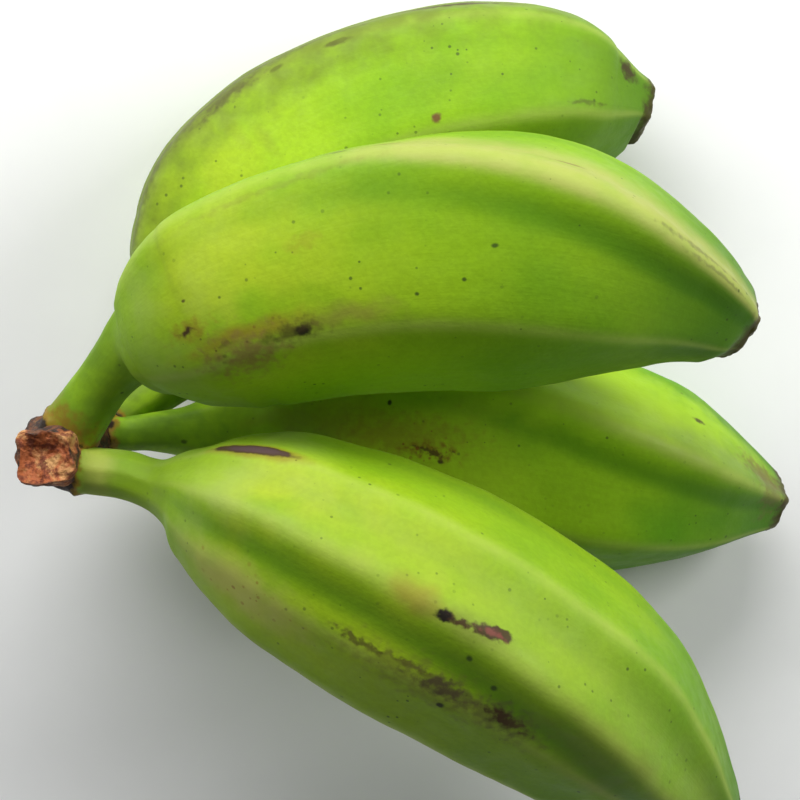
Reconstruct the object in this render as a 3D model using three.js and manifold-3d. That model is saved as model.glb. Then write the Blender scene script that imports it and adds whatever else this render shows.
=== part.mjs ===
// A hand of four stubby green plantain fingers on one cut crown, lying on its side.
// Millimetres, +Z up. The crown is at -X, the tips point to +X, and the floor is Z = 0.

import * as THREE from 'three';
import { mergeVertices } from 'three/addons/utils/BufferGeometryUtils.js';
import Module from 'manifold-3d';

// How finely the fingers are cut, along and around.
const FINGER_RINGS = 34;
const FACE_STEPS = [0, 0.1, 0.25, 0.5, 0.75, 0.9];    // corners from one ridge to the next

// Cross-section of a finger: a rounded polygon that is a little flatter than wide.
const FLATNESS = 0.93;       // height over width of a section
const FACE_RADIUS = 0.885;   // radius between the ridges, as a share of the station radius
const SWELL_HEIGHT = 0.13;   // the broad swell under a ridge, as a share of the station radius
const SWELL_SHARPNESS = 9;   // larger gives a narrower swell
const CREST_HEIGHT = 0.1;    // the crest on top of the swell, as a share of the station radius
const CREST_SHARPNESS = 45;
const STALK_ANGULARITY = 0.3;       // the stalk is rounder than the body by this factor
const BODY_STARTS = [0.08, 0.3];    // shares of the length where the stalk becomes the body
const RIDGES_DRIFT = [0.35, 0.95];  // shares of the length where the ridges change to their tip form

// The two lower fingers dip just below this height, and are pressed flat there.
const FLOOR_LEVEL = 0;

// Each station is [x, y, z, radius]: the middle of the finger and its girth there, crown to tip.
// Each ridge is [angle at the stalk, angle at the tip, strength at the stalk, strength at the tip],
// with the angles in degrees from straight up.
const FINGERS = {
  floorFar: {
    stations: [
      [-76.5, -8.4, 36.5, 5.0],
      [-70.4, -4.9, 34.5, 5.2], [-65.2, -1.0, 32.5, 5.4], [-59.5, 3.2, 30.0, 6.4],
      [-54.0, 10.0, 27.5, 9.6], [-50.4, 17.4, 27.0, 16.0], [-46.8, 26.4, 26.8, 22.5],
      [-43.6, 35.9, 26.7, 26.5], [-36.4, 48.4, 27.0, 28.5], [-20.9, 61.2, 27.1, 28.6],
      [0.5, 69.9, 27.1, 28.6], [22.4, 74.2, 26.6, 27.8], [39.0, 75.4, 25.0, 24.0],
      [50.2, 74.5, 22.5, 17.0], [57.9, 73.7, 21.0, 10.5], [60.7, 73.0, 20.5, 8.2],
    ],
    ridges: [
      [-165, -165, 0.8, 0.8], [-95, -95, 0.8, 0.8], [-18, -14, 0.6, 0.6], [50, 42, 0.6, 0.6],
      [122, 122, 0.8, 0.8],
    ],
  },
  topFar: {
    stations: [
      [-81.4, -10.6, 54.5, 6.4],
      [-77.8, -6.2, 57.0, 7.3], [-69.7, 4.5, 61.5, 6.8], [-62.6, 11.7, 66.0, 8.8],
      [-58.1, 13.7, 68.5, 13.6], [-52.8, 16.2, 71.0, 19.2], [-43.3, 20.9, 74.5, 24.4],
      [-33.9, 24.8, 77.0, 26.2], [-13.7, 30.1, 79.0, 28.2], [5.7, 32.6, 79.5, 29.4],
      [26.3, 32.4, 79.0, 29.4], [45.4, 29.6, 76.5, 25.6], [63.8, 24.0, 72.0, 17.4],
      [75.1, 18.8, 68.5, 11.3], [79.0, 16.6, 67.3, 7.6],
    ],
    ridges: [
      [-175, -175, 0.8, 0.8], [-103, -110, 0.8, 0.8], [-34, -40, 0.25, 0.3], [52, 20, 0.7, 2],
      [127, 100, 0.8, 0.8],
    ],
  },
  floorNear: {
    stations: [
      [-78.0, -8.6, 38.8, 4.4],
      [-71.4, -8.2, 38.8, 4.4], [-66.5, -8.2, 38.4, 4.3], [-60.5, -7.8, 37.5, 5.0],
      [-50.5, -7.9, 34.5, 7.2], [-37.3, -7.9, 29.0, 14.0], [-22.4, -8.5, 27.0, 22.5],
      [-7.5, -9.7, 26.5, 26.2], [12.5, -11.5, 26.6, 27.4], [32.4, -13.7, 26.2, 27.2],
      [50.5, -17.0, 25.3, 26.2], [64.3, -19.4, 23.3, 23.4], [75.7, -21.9, 20.4, 18.8],
      [86.2, -24.2, 17.0, 12.6], [94.1, -26.1, 14.5, 7.9],
    ],
    ridges: [
      [-185, -185, 0.8, 0.8], [-110, -110, 0.8, 0.8], [-35, -45, 0.6, 0.6], [45, 10, 0.9, 1.8],
      [110, 100, 0.8, 0.8],
    ],
  },
  topNear: {
    stations: [
      [-82.4, -14.6, 55.0, 5.4],
      [-78.2, -15.9, 57.0, 6.0], [-72.2, -16.9, 58.2, 5.9], [-65.1, -17.7, 60.0, 6.0],
      [-57.1, -20.1, 62.5, 6.4], [-50.5, -21.6, 65.0, 10.6], [-45.2, -23.6, 67.0, 15.4],
      [-38.1, -26.3, 69.5, 20.0], [-29.6, -29.9, 72.0, 23.5], [-18.7, -35.5, 74.0, 26.1],
      [-7.6, -40.9, 74.5, 27.9], [3.9, -46.8, 74.0, 28.8], [16.0, -53.3, 72.0, 28.9],
      [27.4, -60.2, 68.5, 28.4], [39.2, -68.0, 63.0, 27.2], [51.1, -77.0, 56.0, 24.2],
      [62.0, -87.0, 49.5, 18.4], [71.0, -96.5, 44.0, 12.2], [76.6, -103.4, 40.5, 8.0],
    ],
    ridges: [
      [-185, -185, 0.8, 0.8], [-122, -122, 0.8, 0.8], [-72, -72, 0.4, 0.4],
      [-29, -30, 0.4, 0.4], [7, -10, 1.3, 1.8], [44, 33, 0.6, 0.7], [105, 100, 0.8, 0.8],
    ],
  },
};

// The crown is the short woody stump that all four stalks grow from, cut off at its outer end.
const CROWN = {
  stations: [
    [-76.0, -7.4, 22.0, 4.2], [-77.0, -8.0, 25.5, 7.4], [-78.0, -8.8, 32.0, 9.2],
    [-78.8, -9.8, 41.0, 9.6], [-80.6, -11.6, 51.0, 9.6], [-82.4, -13.2, 59.0, 8.6],
    [-83.2, -13.6, 66.5, 7.6],
  ],
  ridges: [[-135, -135, 0.6, 0.6], [-45, -45, 0.6, 0.6], [45, 45, 0.6, 0.6], [135, 135, 0.6, 0.6]],
  rings: 10,
  upward: new THREE.Vector3(0, 1, 0),
};

const wasm = await Module();
wasm.setup();

// Radius of a section at an angle, as a share of the station radius. Every ridge is a broad swell
// with a narrow crest on it, raised on a rounder ground. A ridge stronger than 1 has a higher crest
// on the same swell.
function sectionShare(angle, crests, angularity) {
  let share = 1 - (1 - FACE_RADIUS) * angularity;
  for (const crest of crests) {
    const away = Math.cos(angle - crest.angle) - 1;
    const swell = SWELL_HEIGHT * Math.min(1, crest.strength) * Math.exp(SWELL_SHARPNESS * away);
    const ridge = CREST_HEIGHT * crest.strength * Math.exp(CREST_SHARPNESS * away);
    share += (swell + ridge) * angularity;
  }
  return share;
}

// Angles of a ring's corners: every crest gets one, and the face up to the next crest gets more,
// closest together beside the crests.
function cornerAngles(crests) {
  return crests.flatMap(({ angle: start }, i) => {
    const last = i === crests.length - 1;
    const end = last ? crests[0].angle + 2 * Math.PI : crests[i + 1].angle;
    return FACE_STEPS.map((step) => start + (end - start) * step);
  });
}

// Curves through the stations: the middle line, and the radius read off at the same parameter.
function curvesThrough(stations) {
  const middle = stations.map(([x, y, z]) => new THREE.Vector3(x, y, z));
  const radii = stations.map(([, , , radius], i) => new THREE.Vector3(i, radius, 0));
  return {
    spine: new THREE.CatmullRomCurve3(middle, false, 'catmullrom', 0.5),
    girth: new THREE.CatmullRomCurve3(radii, false, 'catmullrom', 0.5),
  };
}

// The two directions across a section: the one nearest to the given upward direction, and the
// one to its left when looking along the middle line.
function acrossDirections(tangent, upward) {
  const up = upward.clone().addScaledVector(tangent, -upward.dot(tangent)).normalize();
  return { up, left: new THREE.Vector3().crossVectors(up, tangent) };
}

// The corners of every section from the first station to the last.
function ringsOf({ stations, ridges, rings, upward }) {
  const { spine, girth } = curvesThrough(stations);
  const lengths = spine.getLengths(rings);
  return lengths.map((length, ring) => {
    const t = ring / rings;
    const share = length / lengths[rings];
    const { up, left } = acrossDirections(spine.getTangent(t), upward);
    const centre = spine.getPoint(t);
    const radius = girth.getPoint(t).y;
    const body = THREE.MathUtils.smoothstep(share, ...BODY_STARTS);
    const angularity = THREE.MathUtils.lerp(STALK_ANGULARITY, 1, body);
    const drift = THREE.MathUtils.smoothstep(share, ...RIDGES_DRIFT);
    const crests = ridges.map(([atStalk, atTip, strengthAtStalk, strengthAtTip]) => ({
      angle: THREE.MathUtils.degToRad(THREE.MathUtils.lerp(atStalk, atTip, drift)),
      strength: THREE.MathUtils.lerp(strengthAtStalk, strengthAtTip, drift),
    }));
    const corners = cornerAngles(crests).map((angle) => {
      const reach = radius * sectionShare(angle, crests, angularity);
      return centre.clone()
        .addScaledVector(up, reach * Math.cos(angle) * FLATNESS)
        .addScaledVector(left, reach * Math.sin(angle));
    });
    return { centre, corners };
  });
}

// A closed cylinder is drawn out along the rings: its rows go to the rings, from the top down,
// and the middles of its two end discs go to the middles of the end rings.
function solidThrough(rings) {
  const sides = rings[0].corners.length;
  const cylinder = new THREE.CylinderGeometry(1, 1, 1, sides, rings.length - 1);
  const closed = mergedPositions(cylinder);
  const position = closed.getAttribute('position');
  for (let i = 0; i < position.count; i++) {
    const from = new THREE.Vector3().fromBufferAttribute(position, i);
    const { centre, corners } = rings[Math.round((0.5 - from.y) * (rings.length - 1))];
    const turn = Math.atan2(from.x, from.z) / (2 * Math.PI);
    const side = Math.round((turn + 1) * sides) % sides;
    const onAxis = Math.hypot(from.x, from.z) < 0.5;
    const to = onAxis ? centre : corners[side];
    position.setXYZ(i, to.x, to.y, to.z);
  }
  return toSolid(closed);
}

// Only the positions are kept, so that corners shared by faces become one.
function mergedPositions(geometry) {
  const bare = geometry.clone();
  bare.deleteAttribute('normal');
  bare.deleteAttribute('uv');
  return mergeVertices(bare, 1e-4);
}

function toSolid(closed) {
  return new wasm.Manifold(new wasm.Mesh({
    numProp: 3,
    vertProperties: new Float32Array(closed.getAttribute('position').array),
    triVerts: new Uint32Array(closed.getIndex().array),
  }));
}

function toGeometry(solid) {
  const mesh = solid.getMesh();
  const geometry = new THREE.BufferGeometry();
  geometry.setAttribute('position', new THREE.BufferAttribute(mesh.vertProperties, 3));
  geometry.setIndex(new THREE.BufferAttribute(mesh.triVerts, 1));
  geometry.computeVertexNormals();
  return geometry;
}

// Everything above the floor, as a large block to cut with.
function aboveFloor() {
  const size = 400;
  const block = new THREE.BoxGeometry(size, size, size);
  block.translate(0, 0, size / 2 + FLOOR_LEVEL);
  return toSolid(mergedPositions(block));
}

// The fingers and the crown grew as one piece, so they are joined into one solid.
let hand = solidThrough(ringsOf(CROWN));
for (const finger of Object.values(FINGERS)) {
  const rings = ringsOf({ ...finger, rings: FINGER_RINGS, upward: new THREE.Vector3(0, 0, 1) });
  hand = hand.add(solidThrough(rings));
}
hand = hand.intersect(aboveFloor());

// The origin is the middle of the bounding box, on the floor.
const geometry = toGeometry(hand);
geometry.computeBoundingBox();
const box = geometry.boundingBox;
const middle = box.getCenter(new THREE.Vector3());
geometry.translate(-middle.x, -middle.y, -box.min.z);

const peel = new THREE.MeshStandardMaterial({ name: 'peel', color: 0x8db52c, roughness: 0.5 });
const plantainHand = new THREE.Mesh(geometry, peel);
plantainHand.name = 'plantain_hand';

const plantain = new THREE.Group();
plantain.name = 'plantain';
plantain.add(plantainHand);

export default plantain;
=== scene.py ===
# %% [markdown]
# # A hand of green plantains
# A hand is a cluster of fruit, called fingers, that grew from one woody crown. This one holds four
# short, thick, angular cooking plantains. It lies on its side: two fingers rest on the surface and
# two lie above them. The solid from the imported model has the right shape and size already, so this
# script dresses it: each finger is remade with finer ridges, a dried tip and a painted peel.

import math

import bmesh
import bpy
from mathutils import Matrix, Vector, noise


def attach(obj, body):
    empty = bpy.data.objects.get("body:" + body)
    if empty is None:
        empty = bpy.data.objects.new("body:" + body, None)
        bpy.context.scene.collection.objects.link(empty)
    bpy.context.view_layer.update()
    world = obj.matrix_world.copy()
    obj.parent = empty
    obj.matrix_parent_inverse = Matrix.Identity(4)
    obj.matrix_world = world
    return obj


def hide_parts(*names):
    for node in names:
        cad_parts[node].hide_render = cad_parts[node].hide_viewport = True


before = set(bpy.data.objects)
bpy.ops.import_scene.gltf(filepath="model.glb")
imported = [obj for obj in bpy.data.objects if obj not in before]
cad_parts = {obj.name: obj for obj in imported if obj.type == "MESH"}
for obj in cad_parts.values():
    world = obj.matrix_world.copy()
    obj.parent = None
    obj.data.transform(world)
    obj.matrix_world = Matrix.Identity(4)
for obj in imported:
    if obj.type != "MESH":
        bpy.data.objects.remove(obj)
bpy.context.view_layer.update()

# %% [markdown]
# ## Where things are
# The fingers are laid out in millimetres in the plan that the photograph shows, with the middle of
# the picture at zero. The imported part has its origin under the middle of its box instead, so every
# place is scaled to metres and moved by the same small step.

# %% From plan millimetres to part metres
MM = 0.001
PLAN_CENTRE = Vector((3.428, -4.341, 0.0))    # middle of the hand's box, measured in the plan


def placed(point):
    return (point - PLAN_CENTRE) * MM


print("plan's middle lies at", list(placed(Vector((0.0, 0.0, 0.0)))), "metres")

# %% [markdown]
# ## Camera
# The photograph looks down on the hand from a little over half a metre. A real lens of that reach
# would be a short telephoto, which keeps the upper fingers from looking much larger than the lower
# ones. The camera hangs over the middle of the picture and looks straight down.

# %% Camera straight above
CAMERA_HEIGHT = 650.0
PIXELS_PER_SLOPE = 2500.0     # picture pixels for a step of one sideways per one down
PICTURE_WIDTH = 800
SENSOR_WIDTH = 36.0

camera_data = bpy.data.cameras.new("camera")
camera_data.sensor_width = SENSOR_WIDTH
camera_data.lens = SENSOR_WIDTH * PIXELS_PER_SLOPE / PICTURE_WIDTH
camera = bpy.data.objects.new("camera", camera_data)
camera.location = placed(Vector((0.0, 0.0, CAMERA_HEIGHT)))
bpy.context.collection.objects.link(camera)
bpy.context.scene.camera = camera
print("lens, millimetres:", round(camera_data.lens, 1))

# %% [markdown]
# ## Light
# Soft daylight comes from the top of the picture, so the faces that look that way are bright and
# each ridge has a dark side. A wide, low strip of light, like a window, gives that without hard
# shadows, and a weaker one on the right reaches the fruit that lies under the others. A faint, pale
# sky and the light that comes back from the floor open the dark sides.

# %% Lamps and sky
HAND_MIDDLE = Vector((0.0, 0.0, 0.045))
SKY_COLOUR = (0.95, 0.98, 1.0, 1.0)
SKY_STRENGTH = 0.15


def soft_lamp(name, location, width, height, power):
    data = bpy.data.lights.new(name, "AREA")
    data.shape = "RECTANGLE"
    data.size = width
    data.size_y = height
    data.energy = power
    lamp = bpy.data.objects.new(name, data)
    lamp.location = location
    lamp.rotation_euler = (HAND_MIDDLE - lamp.location).to_track_quat("-Z", "Y").to_euler()
    bpy.context.collection.objects.link(lamp)
    print(name, "lamp,", power, "watts")


soft_lamp("window", Vector((-0.30, 0.95, 0.75)), width=1.6, height=0.45, power=20.2)
soft_lamp("side window", Vector((1.0, 0.45, 0.75)), width=0.6, height=0.5, power=9.5)

sky = bpy.data.worlds.new("sky")
sky.use_nodes = True
background = sky.node_tree.nodes["Background"].inputs
background["Color"].default_value = SKY_COLOUR
background["Strength"].default_value = SKY_STRENGTH
bpy.context.scene.world = sky
bpy.context.scene.view_settings.view_transform = "Standard"

# %% [markdown]
# ## Small helpers for materials
# A material is a network of nodes. These helpers keep the wiring short: one adds a node and sets or
# links its sockets by name, some do sums, one turns noise into soft patches, and one lays a colour
# over another through a mask.

# %% Node helpers
FLOAT, COLOUR, VECTOR = "NodeSocketFloat", "NodeSocketColor", "NodeSocketVector"


def add_node(tree, kind, inputs=None, **settings):
    node = tree.nodes.new(kind)
    for name, value in settings.items():
        setattr(node, name, value)
    for name, value in (inputs or {}).items():
        if isinstance(value, bpy.types.NodeSocket):
            tree.links.new(value, node.inputs[name])
        else:
            node.inputs[name].default_value = value
    return node


def sum_of(tree, operation, first, second=0.0, clamp=False):
    node = add_node(tree, "ShaderNodeMath", {0: first, 1: second}, operation=operation)
    node.use_clamp = clamp
    return node.outputs[0]


def product(tree, first, *factors):
    for factor in factors:
        first = sum_of(tree, "MULTIPLY", first, factor)
    return first


def multiply_add(tree, value, factor, extra):
    inputs = {0: value, 1: factor, 2: extra}
    return add_node(tree, "ShaderNodeMath", inputs, operation="MULTIPLY_ADD").outputs[0]


def along_direction(tree, place, direction):
    inputs = {0: place, 1: direction}
    return add_node(tree, "ShaderNodeVectorMath", inputs, operation="DOT_PRODUCT").outputs["Value"]


def ramped(tree, value, low, high, to_low=0.0, to_high=1.0):
    limits = {"Value": value, "From Min": low, "From Max": high,
              "To Min": to_low, "To Max": to_high}
    node = add_node(tree, "ShaderNodeMapRange", limits, interpolation_type="SMOOTHSTEP")
    return node.outputs["Result"]


def painted(tree, mask, under, over, blend="MIX"):
    colours = {0: mask, 6: under, 7: over}
    node = add_node(tree, "ShaderNodeMix", colours, data_type="RGBA", blend_type=blend)
    return node.outputs[2]


def noise_value(tree, vector, scale, detail=3.0, roughness=0.55, distortion=0.0):
    inputs = {"Vector": vector, "Scale": scale, "Detail": detail, "Roughness": roughness,
              "Distortion": distortion}
    return add_node(tree, "ShaderNodeTexNoise", inputs).outputs["Fac"]


def patches(tree, vector, scale, low, high, to_low=0.0, to_high=1.0, detail=3.0):
    """Soft patches: noise below low gives to_low, and noise above high gives to_high."""
    return ramped(tree, noise_value(tree, vector, scale, detail), low, high, to_low, to_high)


def uneven(tree, vector, scale, reach):
    """Noise that goes about half of reach to either side of zero."""
    return product(tree, sum_of(tree, "SUBTRACT", noise_value(tree, vector, scale), 0.5), reach)


def object_place(tree):
    return add_node(tree, "ShaderNodeTexCoord").outputs["Object"]


def surface_place(tree):
    """The peel's own map: cosine and sine of the angle round the finger, millimetres along."""
    return add_node(tree, "ShaderNodeAttribute", attribute_name="place").outputs["Vector"]


def surface_value(tree, name):
    return add_node(tree, "ShaderNodeAttribute", attribute_name=name).outputs["Fac"]


def parts_of(tree, vector):
    return add_node(tree, "ShaderNodeSeparateXYZ", {0: vector}).outputs


def new_group(name, takes, gives):
    """takes lists (socket name, type, value it starts with), gives lists (socket name, type)."""
    tree = bpy.data.node_groups.new(name, "ShaderNodeTree")
    for socket_name, kind, start in takes:
        socket = tree.interface.new_socket(socket_name, in_out="INPUT", socket_type=kind)
        socket.default_value = start
    for socket_name, kind in gives:
        tree.interface.new_socket(socket_name, in_out="OUTPUT", socket_type=kind)
    return tree, tree.nodes.new("NodeGroupInput").outputs, tree.nodes.new("NodeGroupOutput").inputs


def use_group(tree, group, inputs):
    return add_node(tree, "ShaderNodeGroup", inputs, node_tree=group).outputs


print("node helpers ready")

# %% [markdown]
# ## Floor
# A plain pale surface under the fruit. It needs to catch a soft shadow and no more, so it is one
# large square just under the lowest point, with a matt off-white finish.

# %% Floor
FLOOR_HALF_WIDTH = 3.0
FLOOR_DROP = 0.0002
FLOOR_TONES = (0.88, 0.88, 0.875, 1.0), (0.92, 0.92, 0.915, 1.0)
FLOOR_GRAIN_SCALE = 60.0


def floor_material():
    material = bpy.data.materials.new("pale floor")
    material.use_nodes = True
    tree = material.node_tree
    shader = tree.nodes["Principled BSDF"]
    grain = noise_value(tree, object_place(tree), FLOOR_GRAIN_SCALE)
    tree.links.new(painted(tree, grain, *FLOOR_TONES), shader.inputs["Base Color"])
    shader.inputs["Roughness"].default_value = 0.9
    shader.inputs["Specular IOR Level"].default_value = 0.1
    return material


shape = bmesh.new()
bmesh.ops.create_grid(shape, x_segments=1, y_segments=1, size=FLOOR_HALF_WIDTH)
bmesh.ops.translate(shape, verts=shape.verts, vec=(0.0, 0.0, -FLOOR_DROP))
floor_mesh = bpy.data.meshes.new("floor")
shape.to_mesh(floor_mesh)
shape.free()
floor = bpy.data.objects.new("floor", floor_mesh)
floor.data.materials.append(floor_material())
bpy.context.collection.objects.link(floor)
print("floor laid")

# %% [markdown]
# ## The shape of a finger
# A plantain finger starts as a thin stalk, swells at the shoulder, runs thick for most of its
# length and closes in a blunt tip. Round it go five or so ridges, left from the shape of the flower
# bud. It could be a stretched sphere, or a profile spun round an axis, but both lose the bend and
# the ridges. Here a flat sheet, like a piece of peel, is rolled into a tube: each row of the sheet
# goes round one section, and the sections follow a curve through the same stations as the solid.

# %% Stations and ridges of the four fingers
# A station is x, y, z and radius in plan millimetres. A ridge is its angle in degrees from straight
# up at the stalk and at the tip, and its strength at the stalk and at the tip. The ring is how far
# along, in millimetres, the stalk leaves the crown.
FAR_BELOW = dict(
    ring=8.0,
    stations=[
        (-76.5, -8.4, 36.5, 5.0), (-70.4, -4.9, 34.5, 5.2), (-65.2, -1.0, 32.5, 5.4),
        (-59.5, 3.2, 30.0, 6.4), (-54.0, 10.0, 27.5, 9.6), (-50.4, 17.4, 27.0, 16.0),
        (-46.8, 26.4, 26.8, 22.5), (-43.6, 35.9, 26.7, 26.5), (-36.4, 48.4, 27.0, 28.5),
        (-20.9, 61.2, 27.1, 28.6), (0.5, 69.9, 27.1, 28.6), (22.4, 74.2, 26.6, 27.8),
        (39.0, 75.4, 25.0, 24.0), (50.2, 74.5, 22.5, 17.0), (57.9, 73.7, 21.0, 10.5),
        (60.7, 73.0, 20.5, 8.2),
    ],
    ridges=[
        (-165, -165, 0.8, 0.8), (-95, -95, 0.8, 0.8), (-18, -14, 0.6, 0.6), (50, 42, 0.6, 0.6),
        (122, 122, 0.8, 0.8),
    ],
)
FAR_ABOVE = dict(
    ring=5.4,
    stations=[
        (-81.4, -10.6, 54.5, 6.4), (-77.8, -6.2, 57.0, 7.3), (-69.7, 4.5, 61.5, 6.8),
        (-62.6, 11.7, 66.0, 8.8), (-58.1, 13.7, 68.5, 13.6), (-52.8, 16.2, 71.0, 19.2),
        (-43.3, 20.9, 74.5, 24.4), (-33.9, 24.8, 77.0, 26.2), (-13.7, 30.1, 79.0, 28.2),
        (5.7, 32.6, 79.5, 29.4), (26.3, 32.4, 79.0, 29.4), (45.4, 29.6, 76.5, 25.6),
        (63.8, 24.0, 72.0, 17.4), (75.1, 18.8, 68.5, 11.3), (79.0, 16.6, 67.3, 7.6),
    ],
    ridges=[
        (-175, -175, 0.8, 0.8), (-103, -110, 0.8, 0.8), (-34, -40, 0.25, 0.3), (52, 20, 0.7, 2),
        (127, 100, 0.8, 0.8),
    ],
)
NEAR_BELOW = dict(
    ring=7.6,
    stations=[
        (-78.0, -8.6, 38.8, 4.4), (-71.4, -8.2, 38.8, 4.4), (-66.5, -8.2, 38.4, 4.3),
        (-60.5, -7.8, 37.5, 5.0), (-50.5, -7.9, 34.5, 7.2), (-37.3, -7.9, 29.0, 14.0),
        (-22.4, -8.5, 27.0, 22.5), (-7.5, -9.7, 26.5, 26.2), (12.5, -11.5, 26.6, 27.4),
        (32.4, -13.7, 26.2, 27.2), (50.5, -17.0, 25.3, 26.2), (64.3, -19.4, 23.3, 23.4),
        (75.7, -21.9, 20.4, 18.8), (86.2, -24.2, 17.0, 12.6), (94.1, -26.1, 14.5, 7.9),
    ],
    ridges=[
        (-185, -185, 0.8, 0.8), (-110, -110, 0.8, 0.8), (-35, -45, 0.6, 0.6), (45, 10, 0.9, 1.8),
        (110, 100, 0.8, 0.8),
    ],
)
NEAR_ABOVE = dict(
    ring=7.4,
    stations=[
        (-82.4, -14.6, 55.0, 5.4), (-78.2, -15.9, 57.0, 6.0), (-72.2, -16.9, 58.2, 5.9),
        (-65.1, -17.7, 60.0, 6.0), (-57.1, -20.1, 62.5, 6.4), (-50.5, -21.6, 65.0, 10.6),
        (-45.2, -23.6, 67.0, 15.4), (-38.1, -26.3, 69.5, 20.0), (-29.6, -29.9, 72.0, 23.5),
        (-18.7, -35.5, 74.0, 26.1), (-7.6, -40.9, 74.5, 27.9), (3.9, -46.8, 74.0, 28.8),
        (16.0, -53.3, 72.0, 28.9), (27.4, -60.2, 68.5, 28.4), (39.2, -68.0, 63.0, 27.2),
        (51.1, -77.0, 56.0, 24.2), (62.0, -87.0, 49.5, 18.4), (71.0, -96.5, 44.0, 12.2),
        (76.6, -103.4, 40.5, 8.0),
    ],
    ridges=[
        (-185, -185, 0.8, 0.8), (-122, -122, 0.8, 0.8), (-72, -72, 0.4, 0.4),
        (-29, -30, 0.4, 0.4), (7, -10, 1.3, 1.8), (44, 33, 0.6, 0.7), (105, 100, 0.8, 0.8),
    ],
)

# %% [markdown]
# A curve through the stations gives the middle and the radius at any place between them. The
# section's radius is nearly constant, with a broad swell and a narrow crest for each ridge, which
# leaves the faces between the ridges flat. Each ridge also says where the material paints a pale
# crest and a darker, greener hollow under it. The pale crest is partly pale peel and partly painted
# highlight, and the hollow is partly greener peel and partly painted shade.

# %% Curve and section
FLATNESS = 0.93
FACE_RADIUS = 0.885
SWELL_HEIGHT, SWELL_SHARPNESS = 0.13, 9.0
CREST_HEIGHT, CREST_SHARPNESS = 0.10, 45.0
HOLLOW_OFFSET, HOLLOW_WIDTH = 16.0, 8.5    # degrees from a crest down to the hollow under it
DEEP_HOLLOW_STRENGTH = 2.0                 # strength of a ridge whose hollow is greenest
BAND_BELOW, BAND_ABOVE = 6.0, 40.0         # degrees of the pale band on a strong ridge
BANDED_STRENGTHS = (0.6, 1.2)              # strengths from no pale band to a full one
LINE_WIDTH = 3.5                           # degrees of the thin pale line on every ridge
STALK_ANGULARITY = 0.3
BODY_STARTS = (0.08, 0.3)      # shares of the length where the stalk becomes the body
RIDGES_DRIFT = (0.35, 0.95)    # shares of the length where ridges change to their tip form
TANGENT_STEP = 0.001


def smooth_step(value, low, high):
    share = min(1.0, max(0.0, (value - low) / (high - low)))
    return share * share * (3.0 - 2.0 * share)


def mixed(low, high, share):
    return low + (high - low) * share


def on_curve(stations, t):
    """Middle and radius at t, where station 0 is at 0 and the last one at 1."""
    points = [Vector(station) for station in stations]
    points = [2 * points[0] - points[1]] + points + [2 * points[-1] - points[-2]]
    spans = len(stations) - 1
    span = min(int(t * spans), spans - 1)
    u = t * spans - span
    a, b, c, d = points[span:span + 4]
    return 0.5 * (2 * b + (c - a) * u + (2 * a - 5 * b + 4 * c - d) * u ** 2
                  + (3 * b - a - 3 * c + d) * u ** 3)


def along_curve(stations, rows, upward):
    """For each row: middle, radius, the three directions, and millimetres along."""
    sections = []
    length = 0.0
    for row in range(rows + 1):
        t = row / rows
        here = on_curve(stations, t)
        ahead = on_curve(stations, min(1.0, t + TANGENT_STEP)).xyz
        behind = on_curve(stations, max(0.0, t - TANGENT_STEP)).xyz
        tangent = (ahead - behind).normalized()
        up = (upward - tangent * upward.dot(tangent)).normalized()
        if sections:
            length += (here.xyz - sections[-1]["middle"]).length
        sections.append(dict(middle=here.xyz, radius=here.w, tangent=tangent, up=up,
                             left=up.cross(tangent), along=length))
    return sections


def ridges_at(ridges, share):
    """Angle and strength of every ridge at a share of the finger's length."""
    drift = smooth_step(share, *RIDGES_DRIFT)
    return [(math.radians(mixed(angle, tip_angle, drift)), mixed(strength, tip_strength, drift))
            for angle, tip_angle, strength, tip_strength in ridges]


def section_share(angle, crests, angularity):
    """Radius at an angle as a share of the station's, and the paint that the ridges bring."""
    share = 1.0 - (1.0 - FACE_RADIUS) * angularity
    band = line = hollow = 0.0
    for crest_angle, strength in crests:
        away = math.cos(angle - crest_angle) - 1.0
        swell = SWELL_HEIGHT * min(1.0, strength) * math.exp(SWELL_SHARPNESS * away)
        ridge = strength * math.exp(CREST_SHARPNESS * away)
        share += (swell + CREST_HEIGHT * ridge) * angularity
        above = (math.degrees(angle - crest_angle) + 180.0) % 360.0 - 180.0
        from_band = above / (BAND_ABOVE if above > 0.0 else BAND_BELOW)
        from_hollow = (above + HOLLOW_OFFSET) / HOLLOW_WIDTH
        depth = min(1.0, strength / DEEP_HOLLOW_STRENGTH)
        # band and line place the pale crest, partly painted highlight; hollow places the greener
        # hollow, partly painted shade
        band = max(band, smooth_step(strength, *BANDED_STRENGTHS) * math.exp(-from_band ** 2))
        line = max(line, math.exp(-(above / LINE_WIDTH) ** 2))
        hollow = max(hollow, depth * math.exp(-from_hollow ** 2))
    paint = dict(band=band * angularity, line=line * angularity, hollow=hollow * angularity)
    return share, paint


def on_section(section, length, ridges, angle, shrink):
    """The direction, reach and place of a corner on a section, and its paint."""
    share = section["along"] / length
    angularity = mixed(STALK_ANGULARITY, 1.0, smooth_step(share, *BODY_STARTS))
    reach, paint = section_share(angle, ridges_at(ridges, share), angularity)
    reach *= section["radius"] * shrink
    across = section["up"] * math.cos(angle) * FLATNESS + section["left"] * math.sin(angle)
    return across, reach, section["middle"] + across * reach, paint


print("curve and section ready")

# %% [markdown]
# The sheet is rolled by a rule that gives every corner its place. Rows past the last station fold
# in over the end, and the last row comes together in one point, so the tube closes by itself when
# its doubled corners are merged. No corner goes below the floor, which gives the two lower fingers
# the flats that they lie on. Each corner also keeps where it is on the finger, which the material
# uses to put marks on the peel.

# %% Roll a sheet into a closed tube
RESTING_GAP = 0.0001      # metres between the floor and the flats that the fruit lies on
SAME_POINT = 0.000001     # metres between doubled corners


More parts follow.
